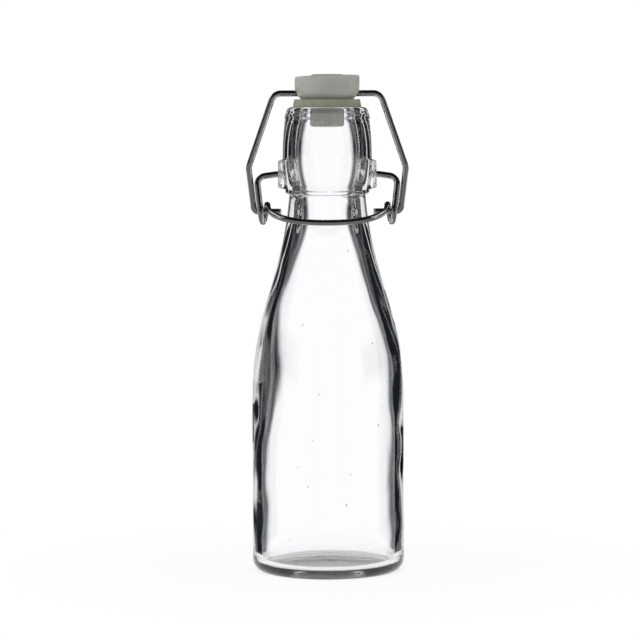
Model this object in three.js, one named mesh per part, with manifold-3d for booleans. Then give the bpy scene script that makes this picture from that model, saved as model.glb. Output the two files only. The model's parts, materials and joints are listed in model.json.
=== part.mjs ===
// Flip-top glass bottle: a round bottle closed by a plastic stopper on a toggle of two bent wires.
// Millimetres, +Z up. The origin is the centre of the base, on the surface that the bottle stands on.
// The wire pivots run along X, and the lever's finger loop points to -Y.
import * as THREE from "three";
import { mergeVertices } from "three/addons/utils/BufferGeometryUtils.js";
import Module from "manifold-3d";

// Driving dimensions of the glass
const BODY_RADIUS = 28.5;
const BODY_WALL = 3.5;
const HEEL_RADIUS = 5;
const PUSH_UP_RADIUS = 17;
const PUSH_UP_RISE = 1;
const BASE_THICKNESS = 2.6;
const INNER_HEEL_RADIUS = 3;
const SHOULDER_START = 65;
const SHOULDER_HEIGHT = 75;
const SHOULDER_BULGE = 34;
const NECK_TAPER = 36;
const NECK_FLARE = 3.6;
const NECK_RADIUS = 14.3;
const BORE_RADIUS = 9;
const FINISH_BORE_RADIUS = 11.8;
const NECK_BORE_RADIUS = 10;
const BORE_FLARE = 3;
const FINISH_LEDGE = 2.8;
const FINISH_HEIGHT = 31.2;
const FINISH_FOOT_RADIUS = 15.8;
const FINISH_RADIUS = 16.6;
const LIP_RADIUS = 15.4;
const LIP_EDGE = 2.2;
const MOUTH_EDGE = 1.2;

// Driving dimensions of the moulded pivot bosses
const BOSS_PROUD = 1.7;
const BOSS_WIDTH = 11;
const BOSS_HEIGHT = 11;
const BOSS_CORNER = 2;
const BOSS_ROOT = 2;
const SOCKET_DEPTH = 4.4;
const PIVOT_DROP = 25;

// Driving dimensions of the wires
const WIRE = 2.3;
const WIRE_SIDES = 10;
const LEVER_STEP = 1;
const BAIL_STEP = 1.4;
const CRANK_THROW = 14;
const EYE_SET_BACK = 1.2;
const EYE_PLAY = 0.9;
const LEG_STANDOFF = 6.6;
const LEG_SPLAY = 1.5;
const LEVER_DROOP = 1;
const LEVER_BEND = 3.2;
const PIN_STRAIGHT = 0.9;
const PIN_BEND = 6;
const HANDLE_DROP = 17;
const HANDLE_OVER_LIP = 1.8;
const HANDLE_SQUARENESS = 2.25;
const KNEE_SPLAY = 0.5;
const KNEE_RISE = 2.5;
const KNEE_BEND = 7;
const CROSSBAR_HALF = 19.8;
const CROSSBAR_BEND = 3.6;
const FOOT_BEND = 2.2;
const STUB_PAST_BOSS = 0.6;

// Driving dimensions of the stopper and its washer
const WASHER_THICK = 2.3;
const WASHER_SEAT = 3.75;
const WASHER_FLARE = 0.45;
const WASHER_EDGE = 0.3;
const STEM_CLEARANCE = 2.6;
const STEM_GROOVE = 0.8;
const STEM_DEPTH = 6.75;
const STEM_TIP_EDGE = 0.9;
const HEAD_TOP_RADIUS = 12.1;
const HEAD_SIDE_RADIUS = 11.8;
const HEAD_FOOT_RADIUS = 10;
const HEAD_TAPER = 3.4;
const HEAD_HEIGHT = 9.4;
const HEAD_EDGE = 0.8;
const HEAD_CROWN = 0.3;
const HOLE_WALL = 0.75;

// Clearances: between seated pieces, and beside wires that pass each other
const FIT = 0.3;
const SIDE_GAP = 0.2;

// Facet counts, and the distance at which two points are one corner
const GLASS_SEGMENTS = 40;
const STOPPER_SEGMENTS = 40;
const SOCKET_SEGMENTS = 16;
const CURVE_POINTS = 10;
const ARC_POINTS = 4;
const BOSS_CORNER_POINTS = 3;
const MERGE_DISTANCE = 1e-4;

// Heights and radii worked out from the driving dimensions
const wireRadius = WIRE / 2;
const neckZ = SHOULDER_START + SHOULDER_HEIGHT;
const finishFootZ = neckZ + FINISH_LEDGE;
const lipZ = finishFootZ + FINISH_HEIGHT;
const pivotZ = lipZ - PIVOT_DROP;
const bossReach = FINISH_RADIUS + BOSS_PROUD;
const washerFootZ = lipZ + FIT;
const washerTopZ = washerFootZ + WASHER_THICK;
const headFootZ = washerTopZ + FIT;
const holeRadius = wireRadius + FIT;
const crossbarZ = headFootZ + HOLE_WALL + holeRadius;
const stubZ = pivotZ - CRANK_THROW;
const stubY = EYE_SET_BACK;
const eyeRadius = WIRE + EYE_PLAY;
const eyeZ = stubZ - (EYE_PLAY - FIT);
const passing = WIRE + SIDE_GAP;
const legFootX = bossReach + LEG_STANDOFF;
const legTopX = legFootX + LEG_SPLAY;
const handleX = legFootX - passing;
const bailFootX = legFootX + passing;
const kneeX = legTopX + passing + KNEE_SPLAY;

const wasm = await Module();
wasm.setup();

// A closed geometry as a solid that can be cut and joined.
function solid(geometry) {
  const bare = geometry.clone();
  bare.deleteAttribute("normal");
  bare.deleteAttribute("uv");
  const merged = mergeVertices(bare, MERGE_DISTANCE);
  const vertProperties = merged.attributes.position.array;
  const triVerts = new Uint32Array(merged.index.array);
  return new wasm.Manifold(new wasm.Mesh({ numProp: 3, vertProperties, triVerts }));
}

function geometryOf(body) {
  const { vertProperties, triVerts } = body.getMesh();
  const geometry = new THREE.BufferGeometry();
  geometry.setAttribute("position", new THREE.BufferAttribute(vertProperties, 3));
  geometry.setIndex(new THREE.BufferAttribute(triVerts, 1));
  geometry.computeVertexNormals();
  return geometry;
}

// A profile of (radius, height) points, bottom to top on its outside, turned round Z.
function turned(profile, segments) {
  return new THREE.LatheGeometry(profile, segments).rotateX(Math.PI / 2);
}

// Points of a quarter round from one angle to another, in the (radius, height) plane.
function quarter(centreR, centreZ, radius, startAngle, endAngle) {
  const clockwise = endAngle < startAngle;
  const arc = new THREE.EllipseCurve(centreR, centreZ, radius, radius, startAngle, endAngle, clockwise);
  return arc.getPoints(ARC_POINTS);
}

function cubic(start, startHandle, endHandle, end) {
  const at = ([r, z]) => new THREE.Vector2(r, z);
  const curve = new THREE.CubicBezierCurve(at(start), at(startHandle), at(endHandle), at(end));
  return curve.getPoints(CURVE_POINTS);
}

function glassOutside() {
  const point = (r, z) => new THREE.Vector2(r, z);
  const pushUp = [];
  for (let i = 0; i <= ARC_POINTS; i++) {
    const share = i / ARC_POINTS;
    pushUp.push(point(PUSH_UP_RADIUS * share, (PUSH_UP_RISE * (1 + Math.cos(Math.PI * share))) / 2));
  }
  const shoulder = cubic(
    [BODY_RADIUS, SHOULDER_START],
    [BODY_RADIUS, SHOULDER_START + SHOULDER_BULGE],
    [NECK_RADIUS + NECK_FLARE, neckZ - NECK_TAPER],
    [NECK_RADIUS, neckZ],
  );
  const finish = new THREE.SplineCurve([
    point(FINISH_FOOT_RADIUS, finishFootZ),
    point(FINISH_RADIUS, pivotZ + BOSS_HEIGHT / 2),
    point(LIP_RADIUS, lipZ - LIP_EDGE),
  ]).getPoints(CURVE_POINTS);
  return [
    ...pushUp,
    ...quarter(BODY_RADIUS - HEEL_RADIUS, HEEL_RADIUS, HEEL_RADIUS, -Math.PI / 2, 0),
    ...shoulder,
    point(NECK_RADIUS, neckZ + FINISH_LEDGE / 2),
    ...finish,
    ...quarter(LIP_RADIUS - LIP_EDGE, lipZ - LIP_EDGE, LIP_EDGE, 0, Math.PI / 2),
  ];
}

function glassInside() {
  const innerRadius = BODY_RADIUS - BODY_WALL;
  const floorZ = PUSH_UP_RISE + BASE_THICKNESS;
  const heelCentre = [innerRadius - INNER_HEEL_RADIUS, floorZ + INNER_HEEL_RADIUS];
  const bore = new THREE.SplineCurve([
    new THREE.Vector2(BORE_RADIUS, lipZ - MOUTH_EDGE),
    new THREE.Vector2(FINISH_BORE_RADIUS, pivotZ + BOSS_HEIGHT / 2),
    new THREE.Vector2(NECK_BORE_RADIUS, finishFootZ),
  ]).getPoints(CURVE_POINTS);
  const shoulder = cubic(
    [NECK_BORE_RADIUS, neckZ],
    [NECK_BORE_RADIUS + BORE_FLARE, neckZ - NECK_TAPER],
    [innerRadius, SHOULDER_START + SHOULDER_BULGE],
    [innerRadius, SHOULDER_START],
  );
  return [
    ...quarter(BORE_RADIUS + MOUTH_EDGE, lipZ - MOUTH_EDGE, MOUTH_EDGE, Math.PI / 2, Math.PI),
    ...bore,
    ...shoulder,
    ...quarter(...heelCentre, INNER_HEEL_RADIUS, 0, -Math.PI / 2),
    new THREE.Vector2(0, floorZ),
  ];
}

// A pad moulded on the +X side of the finish, from inside the wall out to the boss face.
function boss() {
  const halfWidth = BOSS_WIDTH / 2 - BOSS_CORNER;
  const halfHeight = BOSS_HEIGHT / 2 - BOSS_CORNER;
  const outline = new THREE.Shape();
  outline.absarc(halfWidth, halfHeight, BOSS_CORNER, 0, Math.PI / 2);
  outline.absarc(-halfWidth, halfHeight, BOSS_CORNER, Math.PI / 2, Math.PI);
  outline.absarc(-halfWidth, -halfHeight, BOSS_CORNER, Math.PI, 1.5 * Math.PI);
  outline.absarc(halfWidth, -halfHeight, BOSS_CORNER, 1.5 * Math.PI, 2 * Math.PI);
  const rootX = FINISH_BORE_RADIUS + BOSS_ROOT;
  const pad = new THREE.ExtrudeGeometry(outline, {
    depth: bossReach - rootX,
    bevelEnabled: false,
    curveSegments: BOSS_CORNER_POINTS,
  });
  const alongX = new THREE.Matrix4().makeBasis(
    new THREE.Vector3(0, 1, 0),
    new THREE.Vector3(0, 0, 1),
    new THREE.Vector3(1, 0, 0),
  );
  return pad.applyMatrix4(alongX).translate(rootX, 0, pivotZ);
}

// The blind hole in the +X boss that holds the lever's pin.
function socket() {
  const length = SOCKET_DEPTH + BOSS_PROUD;
  const hole = new THREE.CylinderGeometry(holeRadius, holeRadius, length, SOCKET_SEGMENTS);
  return hole.rotateZ(Math.PI / 2).translate(bossReach - SOCKET_DEPTH + length / 2, 0, pivotZ);
}

function glassBottle() {
  let glass = solid(turned([...glassOutside(), ...glassInside()], GLASS_SEGMENTS));
  for (const side of [0, Math.PI]) {
    glass = glass.add(solid(boss().rotateZ(side))).subtract(solid(socket().rotateZ(side)));
  }
  return geometryOf(glass);
}

// A round bend in a wire, from start about an axis through centre.
class Bend extends THREE.Curve {
  constructor(centre, start, axis, turn) {
    super();
    this.centre = centre;
    this.spoke = start.clone().sub(centre);
    this.axis = axis;
    this.turn = turn;
  }

  getPoint(t, target = new THREE.Vector3()) {
    return target.copy(this.spoke).applyAxisAngle(this.axis, this.turn * t).add(this.centre);
  }
}

// The lever's eye: one turn of wire about an axis along X, which drifts sideways as it goes round.
// Its angle counts from the front of the eye, down and round the back.
class EyeTurn extends THREE.Curve {
  constructor(startAngle, endAngle) {
    super();
    this.startAngle = startAngle;
    this.endAngle = endAngle;
  }

  getPoint(t, target = new THREE.Vector3()) {
    const angle = THREE.MathUtils.lerp(this.startAngle, this.endAngle, t);
    const x = THREE.MathUtils.lerp(legFootX, handleX, t);
    return target.set(x, stubY - eyeRadius * Math.cos(angle), eyeZ - eyeRadius * Math.sin(angle));
  }
}

// Half of the lever's finger loop: a squared quarter ellipse in a plane that slopes down to the front.
class HandleHalf extends THREE.Curve {
  constructor(start, length, slope) {
    super();
    this.start = start;
    this.length = length;
    this.slope = slope;
  }

  getPoint(t, target = new THREE.Vector3()) {
    const angle = (Math.PI / 2) * t;
    const x = this.start.x * Math.max(Math.cos(angle), 0) ** (2 / HANDLE_SQUARENESS);
    const ahead = this.length * Math.sin(angle) ** (2 / HANDLE_SQUARENESS);
    const y = this.start.y - ahead * Math.cos(this.slope);
    const z = this.start.z - ahead * Math.sin(this.slope);
    return target.set(x, y, z);
  }
}

// The other half of a wire, run backwards on the -X side.
class Mirrored extends THREE.Curve {
  constructor(half) {
    super();
    this.half = half;
  }

  getPoint(t, target = new THREE.Vector3()) {
    const point = this.half.getPoint(1 - t);
    return target.set(-point.x, point.y, point.z);
  }
}

// Straight runs through the corners, each rounded to its own bend radius.
function bentRun(start, corners, end) {
  const run = new THREE.CurvePath();
  let from = start;
  corners.forEach(({ at, radius }, i) => {
    const next = i + 1 < corners.length ? corners[i + 1].at : end;
    const back = from.clone().sub(at).normalize();
    const ahead = next.clone().sub(at).normalize();
    const half = back.angleTo(ahead) / 2;
    const setback = radius / Math.tan(half);
    const centre = back.clone().add(ahead).setLength(radius / Math.sin(half)).add(at);
    const bendStart = back.clone().multiplyScalar(setback).add(at);
    const bendEnd = ahead.clone().multiplyScalar(setback).add(at);
    const axis = ahead.clone().cross(back).normalize();
    run.add(new THREE.LineCurve3(from, bendStart));
    run.add(new Bend(centre, bendStart, axis, Math.PI - 2 * half));
    from = bendEnd;
  });
  run.add(new THREE.LineCurve3(from, end));
  return run;
}

// A round wire along half a path and its mirror image.
function wire(half, step) {
  const section = [];
  for (let i = 0; i < WIRE_SIDES; i++) {
    const angle = (2 * Math.PI * i) / WIRE_SIDES;
    section.push(new THREE.Vector2(wireRadius * Math.cos(angle), wireRadius * Math.sin(angle)));
  }
  const extrudePath = new THREE.CurvePath();
  extrudePath.add(half);
  extrudePath.add(new Mirrored(half));
  const steps = Math.round(extrudePath.getLength() / step);
  return new THREE.ExtrudeGeometry(new THREE.Shape(section), { steps, extrudePath });
}

// Pin in the boss, out and down to the eye, one turn, then forward as the finger loop.
function leverWire() {
  const pinTip = new THREE.Vector3(bossReach - SOCKET_DEPTH + FIT, 0, pivotZ);
  const pinEnd = new THREE.Vector3(bossReach + PIN_STRAIGHT, 0, pivotZ);
  const corner = new THREE.Vector3(legTopX, 0, pivotZ - LEVER_DROOP);
  const legDrop = corner.z - eyeZ;
  const legLean = Math.asin(eyeRadius / Math.hypot(stubY, legDrop)) - Math.atan2(stubY, legDrop);
  const eye = new THREE.Vector3(0, stubY, eyeZ);
  const reach = Math.hypot(LIP_RADIUS, PIVOT_DROP) + wireRadius + HANDLE_OVER_LIP;
  const front = new THREE.Vector3(0, -Math.sqrt(reach ** 2 - HANDLE_DROP ** 2), pivotZ - HANDLE_DROP);
  const toFront = front.clone().sub(eye);
  const slope = Math.atan2(-toFront.z, -toFront.y) + Math.asin(eyeRadius / toFront.length());
  const eyeTurn = new EyeTurn(-legLean, 1.5 * Math.PI + slope);
  const handleLength = Math.sqrt(toFront.lengthSq() - eyeRadius ** 2);

  const corners = [
    { at: pinEnd, radius: PIN_BEND },
    { at: corner, radius: LEVER_BEND },
  ];
  const half = bentRun(pinTip, corners, eyeTurn.getPoint(0));
  half.add(eyeTurn);
  half.add(new HandleHalf(eyeTurn.getPoint(1), handleLength, slope));
  return wire(half, LEVER_STEP);
}

// Stub in the lever's eye, up the arm past the knee, and in along the crossbar through the stopper.
function bailWire() {
  const leanAt = (z) => (stubY * (crossbarZ - z)) / (crossbarZ - stubZ);
  const onBail = (x, z) => new THREE.Vector3(x, leanAt(z), z);
  const corners = [
    { at: onBail(bailFootX, stubZ), radius: FOOT_BEND },
    { at: onBail(kneeX, pivotZ + KNEE_RISE), radius: KNEE_BEND },
    { at: onBail(CROSSBAR_HALF, crossbarZ), radius: CROSSBAR_BEND },
  ];
  const stubTip = onBail(FINISH_RADIUS + STUB_PAST_BOSS, stubZ);
  return wire(bentRun(stubTip, corners, onBail(0, crossbarZ)), BAIL_STEP);
}

// The stem hangs in the bore, with a groove under the head that holds the washer.
function stopper() {
  const point = (r, z) => new THREE.Vector2(r, z);
  const stemRadius = BORE_RADIUS - STEM_CLEARANCE;
  const grooveRadius = stemRadius - STEM_GROOVE;
  const tipZ = lipZ - STEM_DEPTH;
  const headTopZ = headFootZ + HEAD_HEIGHT;
  const profile = [
    point(0, tipZ),
    ...quarter(stemRadius - STEM_TIP_EDGE, tipZ + STEM_TIP_EDGE, STEM_TIP_EDGE, -Math.PI / 2, 0),
    point(stemRadius, washerFootZ - FIT),
    point(grooveRadius, washerFootZ - FIT),
    point(grooveRadius, headFootZ),
    point(HEAD_FOOT_RADIUS, headFootZ),
    point(HEAD_SIDE_RADIUS, headFootZ + HEAD_TAPER),
    ...quarter(HEAD_TOP_RADIUS - HEAD_EDGE, headTopZ - HEAD_CROWN - HEAD_EDGE, HEAD_EDGE, 0, Math.PI / 2),
    point(0, headTopZ),
  ];
  const holeLength = 2 * (HEAD_TOP_RADIUS + FIT);
  const hole = new THREE.CylinderGeometry(holeRadius, holeRadius, holeLength, SOCKET_SEGMENTS);
  hole.rotateZ(Math.PI / 2).translate(0, 0, crossbarZ);
  return geometryOf(solid(turned(profile, STOPPER_SEGMENTS)).subtract(solid(hole)));
}

function sealingWasher() {
  const point = (r, z) => new THREE.Vector2(r, z);
  const boreRadius = BORE_RADIUS - STEM_CLEARANCE - STEM_GROOVE + FIT;
  const footRadius = BORE_RADIUS + WASHER_SEAT;
  const topRadius = footRadius - WASHER_FLARE;
  return turned(
    [
      point(boreRadius, washerFootZ),
      point(footRadius - WASHER_EDGE, washerFootZ),
      point(footRadius, washerFootZ + WASHER_EDGE),
      point(topRadius, washerTopZ - WASHER_EDGE),
      point(topRadius - WASHER_EDGE, washerTopZ),
      point(boreRadius, washerTopZ),
      point(boreRadius, washerFootZ),
    ],
    STOPPER_SEGMENTS,
  );
}

function piece(name, geometry, material) {
  const mesh = new THREE.Mesh(geometry, material);
  mesh.name = name;
  return mesh;
}

const clearGlass = new THREE.MeshStandardMaterial({
  color: 0xe9eeec,
  roughness: 0.05,
  transparent: true,
  opacity: 0.35,
});
const brightWire = new THREE.MeshStandardMaterial({ color: 0x9a9c9d, roughness: 0.2, metalness: 1 });
const milkyPlastic = new THREE.MeshStandardMaterial({ color: 0xd9d9d6, roughness: 0.4 });
const paleRubber = new THREE.MeshStandardMaterial({ color: 0xb9b7a8, roughness: 0.55 });

const bottle = new THREE.Group();
bottle.add(piece("glass_bottle", glassBottle(), clearGlass));
bottle.add(piece("lever_wire", leverWire(), brightWire));
bottle.add(piece("bail_wire", bailWire(), brightWire));
bottle.add(piece("stopper", stopper(), milkyPlastic));
bottle.add(piece("sealing_washer", sealingWasher(), paleRubber));

export default bottle;
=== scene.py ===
import json
import math

import bmesh
import bpy
from mathutils import Matrix, Vector, noise


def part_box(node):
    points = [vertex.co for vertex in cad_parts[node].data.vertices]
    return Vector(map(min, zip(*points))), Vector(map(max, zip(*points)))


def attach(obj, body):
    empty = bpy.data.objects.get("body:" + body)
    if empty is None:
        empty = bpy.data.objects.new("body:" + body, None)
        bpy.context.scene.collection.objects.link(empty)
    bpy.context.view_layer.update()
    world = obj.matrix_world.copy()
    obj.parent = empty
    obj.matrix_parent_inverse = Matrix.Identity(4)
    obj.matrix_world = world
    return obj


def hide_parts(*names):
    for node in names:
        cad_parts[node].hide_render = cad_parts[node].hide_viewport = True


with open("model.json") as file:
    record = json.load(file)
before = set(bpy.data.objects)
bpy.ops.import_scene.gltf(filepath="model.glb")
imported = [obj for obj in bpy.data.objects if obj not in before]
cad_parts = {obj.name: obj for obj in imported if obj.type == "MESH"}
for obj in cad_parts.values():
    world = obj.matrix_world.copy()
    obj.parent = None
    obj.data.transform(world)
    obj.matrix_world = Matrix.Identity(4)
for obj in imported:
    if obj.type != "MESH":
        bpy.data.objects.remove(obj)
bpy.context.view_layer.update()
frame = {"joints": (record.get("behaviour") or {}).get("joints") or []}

# Sizes below are in millimetres, and MM takes them to Blender's metres
MM = 0.001
glass_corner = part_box("glass_bottle")[1] / MM
joint_place = {joint["name"]: Vector(joint["pos_m"]) / MM for joint in frame["joints"]}
washer_box = [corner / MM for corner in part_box("sealing_washer")]
stopper_box = [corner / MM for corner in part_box("stopper")]
bail_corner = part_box("bail_wire")[1] / MM

# Glass: a round body, a long sloping shoulder, and a barrel-shaped finish with a boss on each side
BODY_RADIUS = glass_corner.x
LIP_Z = glass_corner.z
HEEL_RADIUS = 5
PUSH_UP_RADIUS = 17
PUSH_UP_RISE = 1
FLOOR_Z = 3.6
INNER_HEEL_RADIUS = 3
WALL = 3.5
FLOOR_RADIUS = BODY_RADIUS - WALL - INNER_HEEL_RADIUS
SHOULDER_START = 65
SHOULDER_BULGE = 34
NECK_Z = 140
NECK_TAPER = 36
NECK_FLARE = 3.6
NECK_RADIUS = 14.3
BORE_RADIUS = 9
FINISH_BORE_RADIUS = 11.8
NECK_BORE_RADIUS = 10
BORE_FLARE = 3
FINISH_FOOT_Z = 142.8
FINISH_FOOT_RADIUS = 15.8
LEDGE_RADIUS = 1.2
FINISH_RADIUS = 16.6
LIP_RADIUS = 15.4
LIP_EDGE = 2.2
LIP_BEAD = 0.25
LIP_BEAD_DROP = 3.5
LIP_BEAD_HALF = 0.8
MOUTH_EDGE = 1.2
PIVOT = joint_place["lever_lift"]
BOSS_REACH = 18.3
BOSS_HALF = 5.5
BOSS_CORNER = 2
BOSS_FLAT = BOSS_HALF - BOSS_CORNER
BOSS_DRAFT = 0.7
BOSS_ROOT = 0.25
SOCKET_DEPTH = 4.4

# Wires: a lever whose legs end in eyes, and a bail that passes beside them
STUB = joint_place["bail_swing"]
CROSSBAR = joint_place["stopper_tilt"]
WIRE_RADIUS = bail_corner.z - CROSSBAR.z
WIRE_STEP = 0.4
WIRE_SIDES = 20
WIRE_END_EDGE = 0.3
FIT = 0.3
HOLE_RADIUS = WIRE_RADIUS + FIT
PASSING = 2 * WIRE_RADIUS + 0.2
LEG_FOOT_X = BOSS_REACH + 6.6
LEG_TOP_X = LEG_FOOT_X + 1.5
EYE_PLAY = 0.9
EYE_RADIUS = 2 * WIRE_RADIUS + EYE_PLAY
PIN_STRAIGHT = 0.9
PIN_BEND = 6
LEVER_DROOP = 1
LEVER_BEND = 3.2
LOOP_DROP = 17
LOOP_CLEARANCE = 1.8
LOOP_POWER = 2 / 2.25
LOOP_RUN = 1.3
STUB_PAST_FINISH = 0.6
STUB_BEND = 2.2
KNEE_OUT = 0.5
KNEE_RISE = 2.5
KNEE_BEND = 7
CROSSBAR_HALF = 19.8
CROSSBAR_BEND = 3.6

# Stopper and washer
STEM_RADIUS = 6.4
GROOVE_RADIUS = 5.6
HEAD_FOOT_Z = washer_box[1].z + FIT
HEAD_TOP_Z = stopper_box[1].z
HEAD_TOP_RADIUS = stopper_box[1].x
HEAD_FOOT_RADIUS = 10
HEAD_TAPER = 2.4

# Edges that turn by more degrees than this stay sharp under smooth shading
SHARP_EDGE = 40


def linear(code):
    """A colour written as sRGB hex, as the linear colour that a shader takes."""
    channels = [int(code[i : i + 2], 16) / 255 for i in (1, 3, 5)]
    return (*(c / 12.92 if c <= 0.04045 else ((c + 0.055) / 1.055) ** 2.4 for c in channels), 1)


def add(tree, kind, settings=None, links=None):
    """Adds a node. Settings go to its sockets or, failing that, its properties, and links to its sockets."""
    node = tree.nodes.new(kind)
    for name, value in (settings or {}).items():
        if isinstance(name, int) or name in node.inputs:
            node.inputs[name].default_value = value
        else:
            setattr(node, name, value)
    for name, source in (links or {}).items():
        tree.links.new(source, node.inputs[name])
    return node


def new_material(name):
    material = bpy.data.materials.new(name)
    material.use_nodes = True
    material.node_tree.nodes.clear()
    return material, material.node_tree


def arc(centre_r, centre_z, radius, start, end, count):
    """Points of an arc from one angle to another, in degrees, in the (radius, height) plane."""
    angles = [math.radians(start + (end - start) * i / count) for i in range(count + 1)]
    return [(centre_r + radius * math.cos(a), centre_z + radius * math.sin(a)) for a in angles]


def cubic(start, start_handle, end_handle, end, count):
    corners = [Vector(p) for p in (start, start_handle, end_handle, end)]
    points = []
    for i in range(count + 1):
        t = i / count
        shares = ((1 - t) ** 3, 3 * t * (1 - t) ** 2, 3 * t * t * (1 - t), t**3)
        points.append(tuple(sum((c * s for c, s in zip(corners, shares)), Vector((0, 0)))))
    return points


def spread(start, end, step):
    """Even steps from start up to, and not with, end."""
    count = max(1, round(abs(end - start) / step))
    return [start + (end - start) * i / count for i in range(count)]


def smooth(low, high, x):
    """0 below low and 1 above high, with a smooth rise between."""
    t = min(max((x - low) / (high - low), 0), 1)
    return t * t * (3 - 2 * t)


def bell(x, middle, reach):
    """1 at the middle, falling off smoothly to both sides of it."""
    return math.exp(-(((x - middle) / reach) ** 2))


def turned(bm, rings):
    """Joins rings of points into a skin. A ring of one point is a pole on the axis."""
    rows = [[bm.verts.new(point) for point in ring] for ring in rings]
    for low, high in zip(rows, rows[1:]):
        count = max(len(low), len(high))
        for j in range(count):
            k = (j + 1) % count
            corners = [low[j % len(low)], low[k % len(low)], high[k % len(high)], high[j % len(high)]]
            bm.faces.new(dict.fromkeys(corners))
    return rows


def finished(bm, name, material, sharp=SHARP_EDGE):
    """A mesh in millimetres becomes a smooth-shaded object in metres."""
    mesh = bpy.data.meshes.new(name)
    bm.to_mesh(mesh)
    bm.free()
    mesh.transform(Matrix.Scale(MM, 4))
    mesh.shade_smooth()
    mesh.set_sharp_from_angle(angle=math.radians(sharp))
    mesh.materials.append(material)
    piece = bpy.data.objects.new(name, mesh)
    bpy.context.scene.collection.objects.link(piece)
    return piece


def drill(piece, radius, start, end, sides=32):
    """Cuts a round hole along X through a piece, from start to end in millimetres."""
    bm = bmesh.new()
    along_x = Matrix.Rotation(math.pi / 2, 4, "Y")
    middle = Matrix.Translation((start + end) / 2)
    bmesh.ops.create_cone(
        bm,
        cap_ends=True,
        segments=sides,
        radius1=radius,
        radius2=radius,
        depth=(end - start).length,
        matrix=middle @ along_x,
    )
    cutter = finished(bm, "cutter", piece.data.materials[0])
    cut = piece.modifiers.new("hole", "BOOLEAN")
    cut.operation = "DIFFERENCE"
    cut.solver = "EXACT"
    cut.object = cutter
    depsgraph = bpy.context.evaluated_depsgraph_get()
    mesh = bpy.data.meshes.new_from_object(piece.evaluated_get(depsgraph))
    piece.modifiers.clear()
    piece.data = mesh
    bpy.data.objects.remove(cutter)
    mesh.set_sharp_from_angle(angle=math.radians(SHARP_EDGE))


# Glass bottle: the mould's seam and parting line, and the uneven wall that blowing leaves
SEAM_ANGLE = -88
SEAM_HEIGHT = 0.1
SEAM_HALF_WIDTH = 0.9
SEAM_TOP_Z = 161
PARTING_DEPTH = 0.16
PARTING_HALF_WIDTH = 0.28
SKIN_RIPPLE = 0.06
FLOOR_RIPPLE = 0.05
FLOOR_RIPPLE_SIZE = 3.5
LONG_WAVE = 0.34
SHORT_WAVE = 0.14
WAVE_HEIGHT = 26
HEAVY_LEFT = 1.6
HEAVY_LEFT_Z = 74
HEAVY_LEFT_REACH = 17
HEAVY_NECK = 0.6
HEAVY_NECK_Z = 131
HEAVY_NECK_REACH = 8

# Spacing of the glass's columns, in degrees, and rings, in millimetres: close where the surface turns
BOSS_CLUSTER = (15, 24.3)
SEAM_CLUSTER = (87, 93)
FINE_TURN = 0.45
BOSS_TURN = 1
PLAIN_TURN = 2.2
PUSH_UP_RINGS = 12
SHOULDER_RINGS = 44
RING_STEP = 2
BODY_STEP = 4
NECK_STEP = 0.15
EDGE_STEP = 0.25
BOSS_STEP = 0.35
FINISH_STEP = 1.2
BEAD_STEP = 0.2
BORE_STEP = 1
FLOOR_STEP = 1.2
BEAD_ROOT = 1.5


def glass_angles():
    """Columns round the glass, in degrees: close together at the bosses' edges and at the mould seam."""
    low, high = BOSS_CLUSTER
    seam_start, seam_end = SEAM_CLUSTER
    half = (
        spread(-high, -low, FINE_TURN)
        + spread(-low, low, BOSS_TURN)
        + spread(low, high, FINE_TURN)
        + spread(high, seam_start, PLAIN_TURN)
        + spread(seam_start, seam_end, FINE_TURN)
        + spread(seam_end, 180 - high, PLAIN_TURN)
    )
    return half + [a + 180 for a in half]


def glass_outside():
    """The outside, from the middle of the base up to the lip."""
    shares = spread(0, 1, 1 / PUSH_UP_RINGS)
    push_up = [(PUSH_UP_RADIUS * s, PUSH_UP_RISE * (1 + math.cos(math.pi * s)) / 2) for s in shares]
    ring = [(r, 0) for r in spread(PUSH_UP_RADIUS, BODY_RADIUS - HEEL_RADIUS, RING_STEP)]
    heel = arc(BODY_RADIUS - HEEL_RADIUS, HEEL_RADIUS, HEEL_RADIUS, -90, 0, 10)[:-1]
    body = [(BODY_RADIUS, z) for z in spread(HEEL_RADIUS, SHOULDER_START, BODY_STEP)]
    shoulder = cubic(
        (BODY_RADIUS, SHOULDER_START),
        (BODY_RADIUS, SHOULDER_START + SHOULDER_BULGE),
        (NECK_RADIUS + NECK_FLARE, NECK_Z - NECK_TAPER),
        (NECK_RADIUS, NECK_Z),
        SHOULDER_RINGS,
    )[:-1]
    neck = [(NECK_RADIUS, z) for z in spread(NECK_Z, FINISH_FOOT_Z - LEDGE_RADIUS, NECK_STEP)]
    ledge = arc(FINISH_FOOT_RADIUS - LEDGE_RADIUS, FINISH_FOOT_Z, LEDGE_RADIUS, -75, 0, 6)[:-1]
    boss_end = PIVOT.z + BOSS_HALF + BOSS_CORNER
    bead_foot = LIP_Z - LIP_BEAD_DROP - BEAD_ROOT
    heights = (
        spread(FINISH_FOOT_Z, PIVOT.z - BOSS_FLAT, EDGE_STEP)
        + spread(PIVOT.z - BOSS_FLAT, PIVOT.z + BOSS_FLAT, BOSS_STEP)
        + spread(PIVOT.z + BOSS_FLAT, boss_end, EDGE_STEP)
        + spread(boss_end, bead_foot, FINISH_STEP)
        + spread(bead_foot, LIP_Z - LIP_EDGE, BEAD_STEP)
    )
    finish = [(barrel(z, FINISH_KNOTS) + lip_bead(z), z) for z in heights]
    lip = arc(LIP_RADIUS - LIP_EDGE, LIP_Z - LIP_EDGE, LIP_EDGE, 0, 90, 8)
    return push_up + ring + heel + body + shoulder + neck + ledge + finish + lip


def lip_bead(z):
    """The fine ridge that the neck ring of the mould leaves under the lip."""
    return LIP_BEAD * bell(z, LIP_Z - LIP_BEAD_DROP, LIP_BEAD_HALF)


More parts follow.
